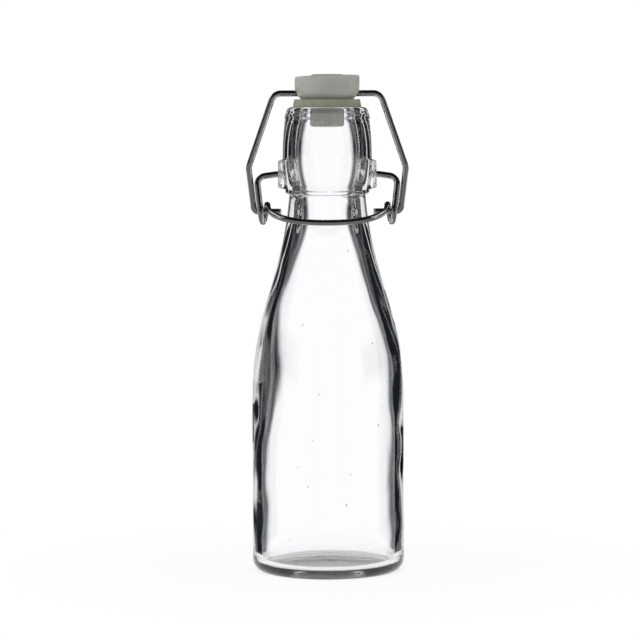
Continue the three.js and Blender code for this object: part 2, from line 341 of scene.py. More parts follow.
def barrel(z, knots):
    """A radius on the smooth bulge through three (height, radius) knots."""
    total = 0
    for i, (zi, ri) in enumerate(knots):
        share = math.prod((z - zk) / (zi - zk) for k, (zk, _) in enumerate(knots) if k != i)
        total += share * ri
    return total


WAIST_Z = PIVOT.z + BOSS_HALF
FINISH_KNOTS = (
    (FINISH_FOOT_Z, FINISH_FOOT_RADIUS),
    (WAIST_Z, FINISH_RADIUS),
    (LIP_Z - LIP_EDGE, LIP_RADIUS),
)
BORE_KNOTS = (
    (FINISH_FOOT_Z, NECK_BORE_RADIUS),
    (WAIST_Z, FINISH_BORE_RADIUS),
    (LIP_Z - MOUTH_EDGE, BORE_RADIUS),
)


def glass_inside():
    """The inside, from the mouth down the bore to the middle of the floor."""
    radius = BODY_RADIUS - WALL
    mouth = arc(BORE_RADIUS + MOUTH_EDGE, LIP_Z - MOUTH_EDGE, MOUTH_EDGE, 90, 180, 7)[:-1]
    bore = [(barrel(z, BORE_KNOTS), z) for z in spread(LIP_Z - MOUTH_EDGE, FINISH_FOOT_Z, BORE_STEP)]
    shoulder = cubic(
        (NECK_BORE_RADIUS, NECK_Z),
        (NECK_BORE_RADIUS + BORE_FLARE, NECK_Z - NECK_TAPER),
        (radius, SHOULDER_START + SHOULDER_BULGE),
        (radius, SHOULDER_START),
        SHOULDER_RINGS,
    )[:-1]
    body = [(radius, z) for z in spread(SHOULDER_START, FLOOR_Z + INNER_HEEL_RADIUS, RING_STEP)]
    heel = arc(FLOOR_RADIUS, FLOOR_Z + INNER_HEEL_RADIUS, INNER_HEEL_RADIUS, 0, -90, 8)
    floor = [(r, FLOOR_Z) for r in spread(FLOOR_RADIUS, 0, FLOOR_STEP)[1:]]
    return mouth + bore + shoulder + body + heel + floor + [(0, FLOOR_Z)]


def boss_cover(y, z):
    """How far a point of the finish is drawn out to a boss's face: 1 on the face, 0 off the boss."""
    dy = max(abs(y) - BOSS_FLAT, 0)
    dz = max(abs(z - PIVOT.z) - BOSS_FLAT, 0)
    return 1 - smooth(-BOSS_DRAFT, BOSS_ROOT, math.hypot(dy, dz) - BOSS_CORNER)


def parting_step(angle, z):
    """Depth of the wavy line that the two halves of the mould leave under the finish."""
    line = NECK_Z + 0.9 + 0.45 * math.sin(3 * angle + 0.6) + 0.25 * math.sin(8 * angle)
    return PARTING_DEPTH * bell(z, line, PARTING_HALF_WIDTH)


def on_outside(r, z, degrees):
    angle = math.radians(degrees)
    ripple = noise.noise(Vector((math.cos(angle), math.sin(angle), z / 30)) * 1.3)
    on_body = smooth(2, 12, z) * (1 - smooth(NECK_Z - 14, NECK_Z, z))
    r += SKIN_RIPPLE * ripple * on_body - parting_step(angle, z)
    off_seam = (degrees - SEAM_ANGLE + 90) % 180 - 90
    if FINISH_FOOT_Z < z < SEAM_TOP_Z:
        r += SEAM_HEIGHT * bell(off_seam, 0, SEAM_HALF_WIDTH)
    x, y = r * math.cos(angle), r * math.sin(angle)
    x += boss_cover(y, z) * (math.copysign(BOSS_REACH, x) - x)
    return x, y, z


def uneven_wall(angle, z):
    """How much thicker the blown wall is here than it is on the whole."""
    spot = Vector((math.cos(angle), math.sin(angle), z / WAVE_HEIGHT))
    across = math.cos(angle)
    heavy_left = HEAVY_LEFT * max(0, -across) ** 2 * bell(z, HEAVY_LEFT_Z, HEAVY_LEFT_REACH)
    heavy_neck = HEAVY_NECK * across**2 * bell(z, HEAVY_NECK_Z, HEAVY_NECK_REACH)
    waves = LONG_WAVE * noise.noise(spot * 1.1) + SHORT_WAVE * noise.noise(spot * 2.7 + Vector((4, 9, 2)))
    waves *= 0.1 + 0.9 * across**2
    waves *= smooth(6, 20, z) * (1 - smooth(NECK_Z - 30, NECK_Z, z))
    return waves + heavy_left + heavy_neck


def on_inside(r, z, degrees):
    angle = math.radians(degrees)
    x, y = r * math.cos(angle), r * math.sin(angle)
    if z < FLOOR_Z + 0.01:
        ripple = noise.noise(Vector((x, y, 0)) / FLOOR_RIPPLE_SIZE)
        return x, y, z + FLOOR_RIPPLE * ripple * smooth(2, 6, BODY_RADIUS - WALL - r)
    r -= uneven_wall(angle, z)
    return r * math.cos(angle), r * math.sin(angle), z


# Seeds, the small bubbles that are left in the wall: angle in degrees, height and length in millimetres
SEED_DEPTH = 0.45 * WALL
SEED_SIDES = 10
SEED_RINGS = 8
SEEDS = (
    (-62, 121, 0.7),
    (-113, 94, 0.7),
    (-50, 87, 0.8),
    (-97, 69, 0.7),
    (-102, 52, 0.6),
    (-114, 42, 0.6),
    (-152, 38, 0.8),
    (-106, 35, 0.7),
    (-76, 28, 0.9),
    (-121, 15, 0.6),
    (-48, 57, 0.9),
    (35, 60, 0.8),
    (70, 33, 0.7),
    (140, 80, 0.6),
)


def add_seeds(piece):
    """Puts the seeds into the wall, with their skins facing the air inside them."""
    bm = bmesh.new()
    bm.from_mesh(piece.data)
    outline = glass_outside()
    turns = [2 * math.pi * (0.25 + k / SEED_SIDES) for k in range(SEED_SIDES)]
    for degrees, z, length in SEEDS:
        angle = math.radians(degrees)
        outside = next(r for r, height in outline if height >= z)
        direction = Vector((math.cos(angle), math.sin(angle), 0))
        middle = direction * (outside - SEED_DEPTH) + Vector((0, 0, z))
        pole = Vector((0, 0, length / 2))
        rings = [[middle + pole]]
        for r, h in arc(0, 0, length / 2, 90, -90, SEED_RINGS)[1:-1]:
            rings.append([middle + Vector((r / 2 * math.cos(t), r / 2 * math.sin(t), h)) for t in turns])
        rings.append([middle - pole])
        turned(bm, [[point * MM for point in ring] for ring in rings])
    for face in bm.faces:
        face.smooth = True
    bm.to_mesh(piece.data)
    bm.free()


def bottle_glass(material):
    columns = glass_angles()
    rings = []
    for profile, place in ((glass_outside(), on_outside), (glass_inside(), on_inside)):
        for r, z in profile:
            rings.append([place(r, z, a) for a in columns] if r > 0 else [(0, 0, z)])
    bm = bmesh.new()
    turned(bm, rings)
    piece = finished(bm, "bottle_glass", material)
    for side in (-1, 1):
        tip = Vector((side * (BOSS_REACH - SOCKET_DEPTH), 0, PIVOT.z))
        mouth = Vector((side * (BOSS_REACH + 1), 0, PIVOT.z))
        drill(piece, HOLE_RADIUS, *sorted((tip, mouth), key=lambda p: p.x))
    add_seeds(piece)
    return piece


# Wires
def stretch(place, length):
    """Points of a curve, given as a function from 0 to 1, without its end."""
    count = max(1, round(length / WIRE_STEP))
    return [place(i / count) for i in range(count)]


def bent_run(start, corners, end):
    """Points along straight runs through the corners, each rounded to its own bend radius."""
    points = []
    here = start
    ahead_of = [at for at, _ in corners[1:]] + [end]
    for (at, radius), following in zip(corners, ahead_of):
        back = (here - at).normalized()
        ahead = (following - at).normalized()
        half = back.angle(ahead) / 2
        centre = at + (back + ahead).normalized() * radius / math.sin(half)
        bend_start = at + back * radius / math.tan(half)
        axis = ahead.cross(back)
        turn = math.pi - 2 * half
        spoke = bend_start - centre
        points += stretch(lambda t: here.lerp(bend_start, t), (bend_start - here).length)
        points += stretch(lambda t: centre + Matrix.Rotation(turn * t, 3, axis) @ spoke, turn * radius)
        here = at + ahead * radius / math.tan(half)
    return points + stretch(lambda t: here.lerp(end, t), (end - here).length)


def lever_half():
    """From the pin in the boss out and down to the eye, one turn, then forward as half the finger loop."""
    eye = Vector((0, STUB.y, STUB.z - EYE_PLAY + FIT))
    pin_tip = Vector((BOSS_REACH - SOCKET_DEPTH + FIT, 0, PIVOT.z))
    pin_end = Vector((BOSS_REACH + PIN_STRAIGHT, 0, PIVOT.z))
    corner = Vector((LEG_TOP_X, 0, PIVOT.z - LEVER_DROOP))
    drop = corner.z - eye.z
    lean = math.asin(EYE_RADIUS / math.hypot(eye.y, drop)) - math.atan2(eye.y, drop)
    reach = math.hypot(LIP_RADIUS, LIP_Z - PIVOT.z) + WIRE_RADIUS + LOOP_CLEARANCE
    front = Vector((0, -math.sqrt(reach**2 - LOOP_DROP**2), PIVOT.z - LOOP_DROP))
    to_front = front - eye
    slope = math.atan2(-to_front.z, -to_front.y) + math.asin(EYE_RADIUS / to_front.length)
    length = math.sqrt(to_front.length_squared - EYE_RADIUS**2)

    def eye_turn(t):
        angle = -lean + (1.5 * math.pi + slope + lean) * t
        x = LEG_FOOT_X - PASSING * t
        return Vector((x, eye.y - EYE_RADIUS * math.cos(angle), eye.z - EYE_RADIUS * math.sin(angle)))

    loop_start = eye_turn(1)

    def finger_loop(t):
        angle = math.pi / 2 * t
        x = loop_start.x * max(math.cos(angle), 0) ** LOOP_POWER
        ahead = length * math.sin(angle) ** LOOP_POWER
        return Vector((x, loop_start.y - ahead * math.cos(slope), loop_start.z - ahead * math.sin(slope)))

    points = bent_run(pin_tip, [(pin_end, PIN_BEND), (corner, LEVER_BEND)], eye_turn(0))
    points += stretch(eye_turn, 2 * math.pi * EYE_RADIUS)
    return points + stretch(finger_loop, LOOP_RUN * length) + [finger_loop(1)]


def bail_half():
    """From the stub in the lever's eye up the arm past its knee, and in along half the crossbar."""

    def on_bail(x, z):
        return Vector((x, STUB.y * (CROSSBAR.z - z) / (CROSSBAR.z - STUB.z), z))

    corners = [
        (on_bail(LEG_FOOT_X + PASSING, STUB.z), STUB_BEND),
        (on_bail(LEG_TOP_X + PASSING + KNEE_OUT, PIVOT.z + KNEE_RISE), KNEE_BEND),
        (on_bail(CROSSBAR_HALF, CROSSBAR.z), CROSSBAR_BEND),
    ]
    end = on_bail(0, CROSSBAR.z)
    return bent_run(on_bail(FINISH_RADIUS + STUB_PAST_FINISH, STUB.z), corners, end) + [end]


def wire(name, half, material):
    """A round wire along half a route and its mirror image, with its cut ends lightly rounded."""
    whole = half + [Vector((-p.x, p.y, p.z)) for p in reversed(half[:-1])]
    points = [whole[0]]
    for point in whole[1:]:
        if (point - points[-1]).length > WIRE_STEP / 4:
            points.append(point)
    tangents = [(b - a).normalized() for a, b in zip([points[0]] + points[:-1], points[1:] + [points[-1]])]
    side = tangents[0].orthogonal().normalized()
    bm = bmesh.new()
    rings, marks = [], []
    along = 0
    for i, (point, tangent) in enumerate(zip(points, tangents)):
        if i:
            side = tangents[i - 1].rotation_difference(tangent) @ side
            along += (point - points[i - 1]).length
        up = tangent.cross(side)
        at_end = i in (0, len(points) - 1)
        radius = WIRE_RADIUS - (WIRE_END_EDGE if at_end else 0)
        ring = []
        for k in range(WIRE_SIDES):
            angle = 2 * math.pi * k / WIRE_SIDES
            ring.append(point + (side * math.cos(angle) + up * math.sin(angle)) * radius)
            marks.append((math.cos(angle), math.sin(angle), along))
        rings.append(ring)
    rows = turned(bm, rings)
    bm.faces.new(reversed(rows[0]))
    bm.faces.new(rows[-1])
    piece = finished(bm, name, material, sharp=50)
    drawn = piece.data.attributes.new("drawn", "FLOAT_VECTOR", "POINT")
    drawn.data.foreach_set("vector", [value for mark in marks for value in mark])
    return piece


# Stopper and washer: the flats on the head, its leaning top, and the small edges of both mouldings
FACET_TURN = 19
FACET_TOP = 12.3
FACET_FOOT = 10.7
TOP_LEAN = 0.028
TIP_EDGE = 0.9
STEM_EDGE = 0.25
FOOT_EDGE = 0.4
HEAD_EDGE = 0.9
HEAD_CROWN = 0.3
WASHER_EDGE = 0.3
WASHER_TAPER = 0.45
WASHER_LIFT = 0.02


def on_stopper(r, z, degrees):
    """The turned stopper, with a flat on each side of the head that slopes in to where the wire enters."""
    angle = math.radians(degrees)
    x, y = r * math.cos(angle), r * math.sin(angle)
    if z > HEAD_FOOT_Z - 0.01 and r > GROOVE_RADIUS + 0.1:
        share = (z - HEAD_FOOT_Z) / (HEAD_TOP_Z - HEAD_FOOT_Z)
        flat = FACET_FOOT + (FACET_TOP - FACET_FOOT) * share
        turn = math.radians(FACET_TURN)
        across = x * math.cos(turn) + y * math.sin(turn)
        extra = abs(across) - flat
        if extra > 0:
            shift = -math.copysign(extra, across)
            x += shift * math.cos(turn)
            y += shift * math.sin(turn)
        z += TOP_LEAN * (x - HEAD_TOP_RADIUS) * smooth(0.3, 1, share)
    return x, y, z


def stopper_profile():
    tip_z = stopper_box[0].z
    tip = [(r, tip_z) for r in spread(0, STEM_RADIUS - TIP_EDGE, 0.8)]
    tip += arc(STEM_RADIUS - TIP_EDGE, tip_z + TIP_EDGE, TIP_EDGE, -90, 0, 5)
    stem = [(STEM_RADIUS, z) for z in spread(tip_z + TIP_EDGE, LIP_Z - STEM_EDGE, 0.6)[1:]]
    stem += arc(STEM_RADIUS - STEM_EDGE, LIP_Z - STEM_EDGE, STEM_EDGE, 0, 90, 3)
    groove = [(GROOVE_RADIUS, z) for z in spread(LIP_Z, HEAD_FOOT_Z, 0.4)]
    under = [(r, HEAD_FOOT_Z) for r in spread(GROOVE_RADIUS, HEAD_FOOT_RADIUS - FOOT_EDGE, 0.6)]
    foot = arc(HEAD_FOOT_RADIUS - FOOT_EDGE, HEAD_FOOT_Z + FOOT_EDGE, FOOT_EDGE, -90, -12, 3)
    side_top = HEAD_TOP_Z - HEAD_CROWN - HEAD_EDGE
    taper_top = (HEAD_TOP_RADIUS, HEAD_FOOT_Z + HEAD_TAPER)
    side = cubic(foot[-1], taper_top, taper_top, (HEAD_TOP_RADIUS, side_top), 22)[1:-1]
    edge = arc(HEAD_TOP_RADIUS - HEAD_EDGE, side_top, HEAD_EDGE, 0, 80, 6)
    top_radius, top_z = edge[-1]
    rise = HEAD_TOP_Z - top_z
    top = [(r, top_z + rise * (1 - (r / top_radius) ** 2)) for r in spread(top_radius, 0, 0.9)[1:]]
    return tip + stem + groove + under + foot + side + edge + top + [(0, HEAD_TOP_Z)]


def stopper_moulding(material):
    columns = spread(0, 360, 2.5)
    rings = [
        [on_stopper(r, z, a) for a in columns] if r > 0 else [on_stopper(0, z, 0)]
        for r, z in stopper_profile()
    ]
    bm = bmesh.new()
    turned(bm, rings)
    piece = finished(bm, "stopper_moulding", material)
    reach = Vector((HEAD_TOP_RADIUS + 1, 0, 0))
    drill(piece, HOLE_RADIUS, CROSSBAR - reach, CROSSBAR + reach)
    return piece


def washer_ring(material):
    low, high = LIP_Z + WASHER_LIFT, HEAD_FOOT_Z
    bore = GROOVE_RADIUS + FIT
    foot_radius = washer_box[1].x - WASHER_EDGE
    top_radius = foot_radius - WASHER_TAPER
    profile = (
        [(r, low) for r in spread(bore, foot_radius, 0.8)]
        + arc(foot_radius, low + WASHER_EDGE, WASHER_EDGE, -90, 0, 4)
        + arc(top_radius, high - WASHER_EDGE, WASHER_EDGE, 0, 90, 4)
        + [(r, high) for r in spread(top_radius, bore, 0.8)[1:]]
        + [(bore, z) for z in spread(high, low, 0.6)]
        + [(bore, low)]
    )
    columns = [math.radians(a) for a in spread(0, 360, 3)]
    rings = [[(r * math.cos(a), r * math.sin(a), z) for a in columns] for r, z in profile]
    bm = bmesh.new()
    turned(bm, rings)
    bmesh.ops.remove_doubles(bm, verts=bm.verts, dist=1e-5)
    return finished(bm, "washer_ring", material)


# Soda-lime glass, blown in a mould and fire polished: clear, with a skin that ripples and bends what is
# behind it. The bosses and the base keep the coarse grain of the mould.
def soda_lime_glass():
    material, tree = new_material("soda_lime_glass")
    place = add(tree, "ShaderNodeTexCoord")
    ripple_mm = 7
    ripple = add(
        tree,
        "ShaderNodeTexNoise",
        {"Scale": 1 / (ripple_mm * MM), "Detail": 2, "Roughness": 0.4},
        {"Vector": place.outputs["Object"]},
    )
    skin = add(
        tree,
        "ShaderNodeBump",
        {"Strength": 0.25, "Distance": 0.06 * MM},
        {"Height": ripple.outputs["Fac"]},
    )
    axes = add(tree, "ShaderNodeSeparateXYZ", links={"Vector": place.outputs["Object"]})
    sideways = add(tree, "ShaderNodeMath", {"operation": "ABSOLUTE"}, {0: axes.outputs["X"]})
    proud = add(
        tree,
        "ShaderNodeMapRange",
        {"From Min": (FINISH_RADIUS + 0.1) * MM, "From Max": (FINISH_RADIUS + 0.6) * MM},
        {"Value": sideways.outputs["Value"]},
    )
    high = add(tree, "ShaderNodeMath", {"operation": "GREATER_THAN", 1: NECK_Z * MM}, {0: axes.outputs["Z"]})
    on_boss = add(
        tree,
        "ShaderNodeMath",
        {"operation": "MULTIPLY"},
        {0: proud.outputs["Result"], 1: high.outputs["Value"]},
    )
    from_base = add(tree, "ShaderNodeVectorMath", {"operation": "LENGTH"}, {0: place.outputs["Object"]})
    on_floor = add(
        tree,
        "ShaderNodeMapRange",
        {"From Min": FLOOR_RADIUS * MM, "From Max": (FLOOR_RADIUS - 2) * MM, "To Max": 0.15},
        {"Value": from_base.outputs["Value"]},
    )
    rough_cast = add(
        tree,
        "ShaderNodeMath",
        {"operation": "MAXIMUM"},
        {0: on_boss.outputs["Value"], 1: on_floor.outputs["Result"]},
    )
    grain_mm = 0.7
    grain = add(
        tree,
        "ShaderNodeTexNoise",
        {"Scale": 1 / (grain_mm * MM), "Detail": 1},
        {"Vector": place.outputs["Object"]},
    )
    coarse = add(
        tree,
        "ShaderNodeMath",
        {"operation": "MULTIPLY"},
        {0: grain.outputs["Fac"], 1: rough_cast.outputs["Value"]},
    )
    cast = add(
        tree,
        "ShaderNodeBump",
        {"Strength": 1, "Distance": 0.5 * MM},
        {"Height": coarse.outputs["Value"], "Normal": skin.outputs["Normal"]},
    )
    glass = add(
        tree,
        "ShaderNodeBsdfPrincipled",
        {"Base Color": linear("#fdfeff"), "Roughness": 0, "IOR": 1.52, "Transmission Weight": 1},
        {"Normal": cast.outputs["Normal"]},
    )
    clear = add(tree, "ShaderNodeBsdfTransparent", {"Color": linear("#f4f7f6")})
    path = add(tree, "ShaderNodeLightPath")
    mixed = add(
        tree,
        "ShaderNodeMixShader",
        links={0: path.outputs["Is Shadow Ray"], 1: glass.outputs["BSDF"], 2: clear.outputs["BSDF"]},
    )
    add(tree, "ShaderNodeOutputMaterial", links={"Surface": mixed.outputs["Shader"]})
    return material


# Bright drawn steel wire, nickel plated: a hard mirror, dulled by the die's lines along it and by rubbing
def drawn_steel():
    material, tree = new_material("drawn_steel")
    drawn = add(tree, "ShaderNodeAttribute", {"attribute_name": "drawn"})
    line_mm, line_length_mm = 0.12, 9
    stretched = add(
        tree,
        "ShaderNodeVectorMath",
        {"operation": "MULTIPLY", 1: (1 / line_mm, 1 / line_mm, 1 / line_length_mm)},
        {0: drawn.outputs["Vector"]},
    )
    lines = add(
        tree,
        "ShaderNodeTexNoise",
        {"Scale": 1, "Detail": 3},
        {"Vector": stretched.outputs["Vector"]},
    )
    rub_mm = 4
    rubbed = add(
        tree,
        "ShaderNodeTexNoise",
        {"Scale": 1 / rub_mm, "Detail": 4},
        {"Vector": drawn.outputs["Vector"]},
    )
    dull = add(
        tree,
        "ShaderNodeMapRange",
        {"From Min": 0.35, "From Max": 0.75, "To Min": 0.06, "To Max": 0.17},
        {"Value": rubbed.outputs["Fac"]},
    )
    tone = add(
        tree,
        "ShaderNodeMixRGB",
        {"Color1": linear("#c9c9c7"), "Color2": linear("#a9a9a8")},
        {"Fac": lines.outputs["Fac"]},
    )
    ridges = add(
        tree,
        "ShaderNodeBump",
        {"Strength": 0.05, "Distance": 0.02 * MM},
        {"Height": lines.outputs["Fac"]},
    )
    steel = add(
        tree,
        "ShaderNodeBsdfPrincipled",
        {"Metallic": 1},
        {
            "Base Color": tone.outputs["Color"],
            "Roughness": dull.outputs["Result"],
            "Normal": ridges.outputs["Normal"],
        },
    )
    add(tree, "ShaderNodeOutputMaterial", links={"Surface": steel.outputs["BSDF"]})
    return material


def cloudy(name, pale, dark, below_lip_colour, cloud_mm, grain_mm, settings):
    """A moulded, slightly see-through material: two tones in soft clouds, and a fine grain on its skin.

    Below the lip of the bottle it is mixed towards a darker colour.
    """
    material, tree = new_material(name)
    place = add(tree, "ShaderNodeTexCoord")
    clouds = add(
        tree,
        "ShaderNodeTexNoise",
        {"Scale": 1 / (cloud_mm * MM), "Detail": 3},
        {"Vector": place.outputs["Object"]},
    )
    tone = add(
        tree,
        "ShaderNodeMixRGB",
        {"Color1": linear(pale), "Color2": linear(dark)},
        {"Fac": clouds.outputs["Fac"]},
    )
    axes = add(tree, "ShaderNodeSeparateXYZ", links={"Vector": place.outputs["Object"]})
    # Below the lip of the bottle the colour is mixed towards the darker colour given for there
    below_lip_share = add(
        tree,
        "ShaderNodeMapRange",
        {"From Min": LIP_Z * MM, "From Max": (LIP_Z - 1) * MM, "To Max": 0.8},
        {"Value": axes.outputs["Z"]},
    )
    below_lip_tone = add(
        tree,
        "ShaderNodeMixRGB",
        {"Color2": linear(below_lip_colour)},
        {"Fac": below_lip_share.outputs["Result"], "Color1": tone.outputs["Color"]},
    )
    grain = add(
        tree,
        "ShaderNodeTexNoise",
        {"Scale": 1 / (grain_mm * MM), "Detail": 2},
        {"Vector": place.outputs["Object"]},
    )
    skin = add(
        tree,
        "ShaderNodeBump",
        {"Strength": 0.2, "Distance": 0.05 * MM},
        {"Height": grain.outputs["Fac"]},
    )
    surface = add(
        tree,
        "ShaderNodeBsdfPrincipled",
        settings,
        {"Base Color": below_lip_tone.outputs["Color"], "Normal": skin.outputs["Normal"]},
    )
    add(tree, "ShaderNodeOutputMaterial", links={"Surface": surface.outputs["BSDF"]})
    return material


# Low-density polyethylene, injection moulded: milky and waxy, with light that soaks in a little way
def milky_polyethylene():
    soak = {
        "Roughness": 0.42,
        "IOR": 1.51,
        "Subsurface Weight": 0.5,
        "Subsurface Radius": (1, 1, 0.96),
        "Subsurface Scale": 1.5 * MM,
    }
    return cloudy("milky_polyethylene", "#b5b5b1", "#9f9f98", "#8c8a7e", 5, 0.5, soak)


# Silicone rubber, moulded: pale olive grey, matt, and a little see-through at its edges
def silicone_rubber():
    soak = {
        "Roughness": 0.55,
        "IOR": 1.41,
        "Subsurface Weight": 0.25,
        "Subsurface Radius": (1, 1, 0.9),
        "Subsurface Scale": 1.2 * MM,
    }
    return cloudy("silicone_rubber", "#9b9b89", "#828270", "#828270", 4, 0.4, soak)


def shown_rays(tree):
    """1 for the rays that show the background: straight from the camera, and through glass or off metal."""
    path = add(tree, "ShaderNodeLightPath")
    total = path.outputs["Is Camera Ray"]
    for name in ("Is Glossy Ray", "Is Transmission Ray"):
        both = add(tree, "ShaderNodeMath", {"operation": "MAXIMUM"}, {0: total, 1: path.outputs[name]})
        total = both.outputs["Value"]
    return total


# The bottle's painted shadow on the paper: its shift in metres, its depth, and its reaches in radii of the
# bottle
SHADOW_SHIFT = 0.005
SHADOW_DEPTH = 0.56
SHADOW_EDGE = 1.05
SHADOW_CORE = 0.8
GLOOM_EDGE = 6
CLEAR_FROM = 2


# White studio paper: it shows white, with a painted shadow of the bottle under it and behind it, on top of
# the real shade that it keeps near the bottle. Seen through glass it is clear a little way off, so that each
# dark card can hang at the one height where its own view looks for it.
def white_paper():
    material, tree = new_material("white_paper")
    place = add(tree, "ShaderNodeTexCoord")
    moved = add(
        tree,
        "ShaderNodeVectorMath",
        {"operation": "SUBTRACT", 1: (0, SHADOW_SHIFT, 0)},
        {0: place.outputs["Object"]},
    )
    away = add(tree, "ShaderNodeVectorMath", {"operation": "LENGTH"}, {0: moved.outputs["Vector"]})
    edge = BODY_RADIUS * MM
    # Painted shadow: under the bottle and a little behind it, less of the paper's white shows
    shadow = add(
        tree,
        "ShaderNodeMapRange",
        {
            "From Min": SHADOW_EDGE * edge,
            "From Max": SHADOW_CORE * edge,
            "To Max": SHADOW_DEPTH,
            "interpolation_type": "SMOOTHSTEP",
        },
        {"Value": away.outputs["Value"]},
    )
    bare = add(tree, "ShaderNodeMath", {"operation": "SUBTRACT", 0: 1}, {1: shadow.outputs["Result"]})
    lit = add(
        tree,
        "ShaderNodeMapRange",
        {
            "From Min": edge,
            "From Max": GLOOM_EDGE * edge,
            "To Min": 0.9,
            "To Max": 1,
            "interpolation_type": "SMOOTHERSTEP",
        },
        {"Value": away.outputs["Value"]},
    )
    share = add(
        tree,
        "ShaderNodeMath",
        {"operation": "MULTIPLY"},
        {0: bare.outputs["Value"], 1: lit.outputs["Result"]},
    )
    shown = add(
        tree,
        "ShaderNodeMath",
        {"operation": "MULTIPLY"},
        {0: share.outputs["Value"], 1: shown_rays(tree)},
    )
    # Painted shadow: the paper's own colour darkens towards near-black under and behind the bottle
    tone = add(
        tree,
        "ShaderNodeMixRGB",
        {"Color1": linear("#f6f6f6"), "Color2": linear("#1c1c1c")},
        {"Fac": shadow.outputs["Result"]},
    )
    paper = add(tree, "ShaderNodeBsdfDiffuse", links={"Color": tone.outputs["Color"]})
    white = add(tree, "ShaderNodeEmission", {"Color": linear(WHITE), "Strength": 1})
    mixed = add(
        tree,
        "ShaderNodeMixShader",
        links={0: shown.outputs["Value"], 1: paper.outputs["BSDF"], 2: white.outputs["Emission"]},
    )
    path = add(tree, "ShaderNodeLightPath")
    far = add(
        tree,
        "ShaderNodeMath",
        {"operation": "GREATER_THAN", 1: CLEAR_FROM * edge},
        {0: away.outputs["Value"]},
    )
    by_glass = add(
        tree,
        "ShaderNodeMath",
        {"operation": "ADD", "use_clamp": True},
        {0: path.outputs["Transmission Depth"], 1: path.outputs["Is Singular Ray"]},
    )
    through = add(
        tree,
        "ShaderNodeMath",
        {"operation": "MULTIPLY"},
        {0: far.outputs["Value"], 1: by_glass.outputs["Value"]},
    )
    clear = add(tree, "ShaderNodeBsdfTransparent")
    seen = add(
        tree,
        "ShaderNodeMixShader",
        links={0: through.outputs["Value"], 1: mixed.outputs["Shader"], 2: clear.outputs["BSDF"]},
    )
    add(tree, "ShaderNodeOutputMaterial", links={"Surface": seen.outputs["Shader"]})
    return material


# Studio card, as a photographer sets round glass and metal: each card is as bright as its own shade. The
# kinds of ray named as passing go through it, and a mirrored card shows only in reflections.
def studio_card(name, passing, mirrored=False):
    material, tree = new_material(name)
    path = add(tree, "ShaderNodeLightPath")
    total = path.outputs[passing[0]]
    if mirrored:
        direct = add(
            tree,
            "ShaderNodeMath",
            {"operation": "LESS_THAN", 1: 0.5},
            {0: path.outputs["Glossy Depth"]},
        )
        both = add(tree, "ShaderNodeMath", {"operation": "ADD"}, {0: total, 1: direct.outputs["Value"]})
        total = both.outputs["Value"]
    for depth in passing[1:]:
        both = add(tree, "ShaderNodeMath", {"operation": "ADD"}, {0: total, 1: path.outputs[depth]})
        total = both.outputs["Value"]
    gone = add(tree, "ShaderNodeMath", {"operation": "GREATER_THAN", 1: 0.5}, {0: total})
    shade = add(tree, "ShaderNodeAttribute", {"attribute_name": "shade"})
    glow = add(tree, "ShaderNodeEmission", {"Strength": 1}, {"Color": shade.outputs["Color"]})
    clear = add(tree, "ShaderNodeBsdfTransparent")
    mixed = add(
        tree,
        "ShaderNodeMixShader",
        links={0: gone.outputs["Value"], 1: glow.outputs["Emission"], 2: clear.outputs["BSDF"]},
    )
    add(tree, "ShaderNodeOutputMaterial", links={"Surface": mixed.outputs["Shader"]})
    return material


def stage_mesh(name, points, faces, material):
    mesh = bpy.data.meshes.new(name)
    mesh.from_pydata(points, [], faces)
    mesh.materials.append(material)
    made = bpy.data.objects.new(name, mesh)
    bpy.context.scene.collection.objects.link(made)
    return made


def card(name, span, low, high, colour, material, soft=False):
    """A strip round the axis that only glass and metal see, from one (radius, height) to another.

    Its span is in degrees from +Y towards -X. Its sides fade to white, and so do the ends of a soft card.
    """
    start, end = span
    count = round((end - start) / 2)
    rows = ((0, 0), (0.3, 1), (0.7, 1), (1, 0)) if soft else ((0, 1), (1, 1))
    points, shades = [], []
    for i in range(count + 1):
        degrees = start + (end - start) * i / count
        angle = math.radians(degrees)
        inside = min(degrees - start, end - degrees) if end - start < 360 else CARD_FADE
        for place, share in rows:
            radius, height = Vector(low).lerp(Vector(high), place)
            share *= smooth(0, CARD_FADE, inside)
            points.append((-radius * math.sin(angle), radius * math.cos(angle), height))
            shades += [1 + (level - 1) * share for level in linear(colour)[:3]]
    faces = []
    for i in range(count):
        here = i * len(rows)
        there = here + len(rows)
        faces += [(here + k, here + k + 1, there + k + 1, there + k) for k in range(len(rows) - 1)]
    made = stage_mesh(name, points, faces, material)
    shade_of = made.data.attributes.new("shade", "FLOAT_VECTOR", "POINT")
    shade_of.data.foreach_set("vector", shades)
    made.visible_camera = False
    made.visible_diffuse = False
    made.visible_shadow = False
    made.visible_volume_scatter = False


# Studio, in metres. Glass shows its edges against dark cards, which stand far off on both sides of what is
# behind the bottle: level with it for level views, and lower for views from above. Metal has nearer cards.
DARK = "#191d21"
GREY = "#8b8b8b"
WHITE = "#ffffff"
GLASS_RADIUS = 2
GLASS_TOP = 2.1
LEVEL_CARDS = (((15, 75), -0.42, GLASS_TOP), ((285, 345), -1.25, GLASS_TOP))
VIEW_CARDS = (
    ((105, 152), -0.3, 0.3),
    ((163, 209), -0.75, -0.2),
    ((241, 287), -0.75, -0.2),
    ((-17, 29), -1.2, -0.45),
    ((61, 107), -1.2, -0.45),
)
MIRROR_CARDS = (
    ((15, 75), -0.8, -0.42, False),
    ((75, 125), 0.02, 0.66, True),
    ((235, 285), 0.02, 0.66, True),
    ((-18, 18), 0.05, 1.0, False),
)
METAL_RADIUS = 0.68
METAL_TOP = 0.75
GREY_SPAN = (75, 285)
GREY_TOP = 0.26
BACK_SPAN = (-75, 75)
BACK_FOOT = 0.21
STRIP_SPANS = ((18, 84), (276, 342))
STRIP_RADIUS = METAL_RADIUS - 0.02
